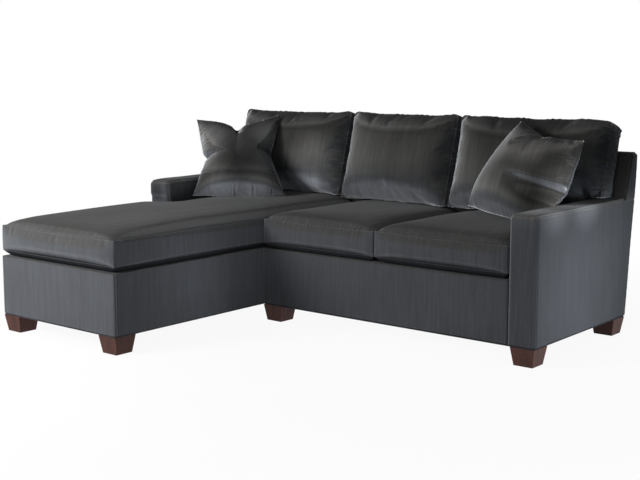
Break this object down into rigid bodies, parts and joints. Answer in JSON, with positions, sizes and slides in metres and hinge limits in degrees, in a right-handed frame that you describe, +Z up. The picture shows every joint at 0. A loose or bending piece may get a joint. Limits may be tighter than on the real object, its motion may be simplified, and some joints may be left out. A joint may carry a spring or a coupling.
{
  "type": "sectional sofa",
  "caption": "L-shaped sectional sofa: a chaise with one arm joined to a two-seat section with the other arm, with loose seat, back and throw cushions in dark velvet.",
  "frame": {"origin": "on the floor, at the middle of the whole footprint", "axes": "+Z up, +X to a viewer's right when facing the sofa's front, +Y from the front towards the back"},
  "size_m": [2.21, 1.8241, 0.9679],
  "materials": {
    "velvet": "charcoal velvet with a fine upright nap and a pale sheen at grazing angles",
    "deck_cloth": "plain dark decking cloth over thin padding",
    "dust_cloth": "thin black non-woven cloth",
    "foam": "cut polyurethane foam",
    "frame_wood": "raw sawn hardwood",
    "foot_wood": "espresso stain under satin lacquer",
    "spring_steel": "oiled spring wire and plain steel fittings",
    "connector_steel": "black painted steel plate"
  },
  "bodies": {
    "chaise_section": {"chaise_back_band": "velvet", "chaise_back_posts": "frame_wood", "chaise_back_rail": "frame_wood", "chaise_back_rails": "frame_wood", "chaise_connectors": "connector_steel", "chaise_corner_blocks": "frame_wood", "chaise_cross_rails": "frame_wood", "chaise_deck": "deck_cloth", "chaise_dust_cover": "dust_cloth", "chaise_feet": "foot_wood", "chaise_foot_bolts": "spring_steel", "chaise_front_panel": "velvet", "chaise_front_rail": "frame_wood", "chaise_inside_back": "velvet", "chaise_outside_back": "velvet", "chaise_side_panels": "velvet", "chaise_side_rails": "frame_wood", "chaise_spring_clips": "spring_steel", "chaise_springs": "spring_steel", "chaise_welt": "velvet", "left_arm_frame": "frame_wood", "left_arm_front": "velvet", "left_arm_inside": "velvet", "left_arm_outside": "velvet"},
    "loveseat_section": {"loveseat_back_band": "velvet", "loveseat_back_posts": "frame_wood", "loveseat_back_rail": "frame_wood", "loveseat_back_rails": "frame_wood", "loveseat_connectors": "connector_steel", "loveseat_corner_blocks": "frame_wood", "loveseat_cross_rails": "frame_wood", "loveseat_deck": "deck_cloth", "loveseat_dust_cover": "dust_cloth", "loveseat_feet": "foot_wood", "loveseat_foot_bolts": "spring_steel", "loveseat_front_panel": "velvet", "loveseat_front_rail": "frame_wood", "loveseat_inside_back": "velvet", "loveseat_outside_back": "velvet", "loveseat_side_panels": "velvet", "loveseat_side_rails": "frame_wood", "loveseat_spring_clips": "spring_steel", "loveseat_springs": "spring_steel", "loveseat_welt": "velvet", "right_arm_frame": "frame_wood", "right_arm_front": "velvet", "right_arm_inside": "velvet", "right_arm_outside": "velvet"},
    "chaise_cushion": {"chaise_cushion_core": "foam", "chaise_cushion_cover": "velvet"},
    "seat_cushion_middle": {"seat_cushion_middle_core": "foam", "seat_cushion_middle_cover": "velvet"},
    "seat_cushion_right": {"seat_cushion_right_core": "foam", "seat_cushion_right_cover": "velvet"},
    "back_cushion_left": {"back_cushion_left": "velvet"},
    "back_cushion_middle": {"back_cushion_middle": "velvet"},
    "back_cushion_right": {"back_cushion_right": "velvet"},
    "throw_pillow_left": {"throw_pillow_left": "velvet"},
    "throw_pillow_right": {"throw_pillow_right": "velvet"}
  },
  "joints": [
    {"name": "loveseat_lift", "type": "slide", "parent": "chaise_section", "child": "loveseat_section", "axis": [0, 0, 1], "range_m": [0, 0.06]},
    {"name": "chaise_cushion_pull", "type": "slide", "parent": "chaise_section", "child": "chaise_cushion", "axis": [0, -1, 0], "range_m": [0, 1.66]},
    {"name": "middle_seat_pull", "type": "slide", "parent": "loveseat_section", "child": "seat_cushion_middle", "axis": [0, -1, 0], "range_m": [0, 0.76]},
    {"name": "right_seat_pull", "type": "slide", "parent": "loveseat_section", "child": "seat_cushion_right", "axis": [0, -1, 0], "range_m": [0, 0.76]},
    {"name": "left_back_lift", "type": "slide", "parent": "chaise_section", "child": "back_cushion_left", "axis": [0, 0.2706, 0.9627], "range_m": [0, 0.45]},
    {"name": "middle_back_lift", "type": "slide", "parent": "loveseat_section", "child": "back_cushion_middle", "axis": [0, 0.2706, 0.9627], "range_m": [0, 0.45]},
    {"name": "right_back_lift", "type": "slide", "parent": "loveseat_section", "child": "back_cushion_right", "axis": [0, 0.2706, 0.9627], "range_m": [0, 0.45]},
    {"name": "left_pillow_lift", "type": "slide", "parent": "back_cushion_left", "child": "throw_pillow_left", "axis": [0, 0, 1], "range_m": [0, 0.45]},
    {"name": "right_pillow_lift", "type": "slide", "parent": "back_cushion_right", "child": "throw_pillow_right", "axis": [0, 0, 1], "range_m": [0, 0.45]}
  ]
}
